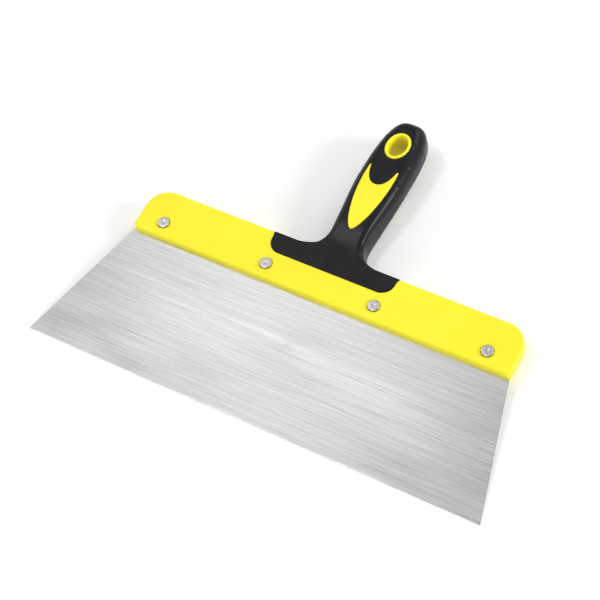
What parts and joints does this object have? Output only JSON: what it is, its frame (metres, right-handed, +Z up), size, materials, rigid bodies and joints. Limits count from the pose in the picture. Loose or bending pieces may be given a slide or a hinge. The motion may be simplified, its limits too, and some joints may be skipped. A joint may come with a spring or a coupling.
{
  "type": "flexible putty knife",
  "caption": "Wide putty knife: a thin flexible steel blade riveted into a straight plastic bar, with a two-material handle that has a leaf-shaped window and an oval hang hole.",
  "frame": {"origin": "on the table, under the middle of the knife's bounding box, with the knife lying on its back", "axes": "+X along the cutting edge, +Y from the cutting edge towards the handle, +Z up, out of the front face"},
  "size_m": [0.35, 0.2496, 0.0309],
  "materials": {
    "steel": "fine brushed lines along the cutting edge",
    "yellow_plastic": "smooth moulded, semi-gloss",
    "black_soft_plastic": "satin soft-touch, faint grain",
    "rivet_metal": "plain pressed metal"
  },
  "bodies": {
    "root": {"blade": "steel", "holder": "yellow_plastic", "grip": "black_soft_plastic", "rivet_1": "rivet_metal", "rivet_2": "rivet_metal", "rivet_3": "rivet_metal", "rivet_4": "rivet_metal"}
  },
  "joints": []
}
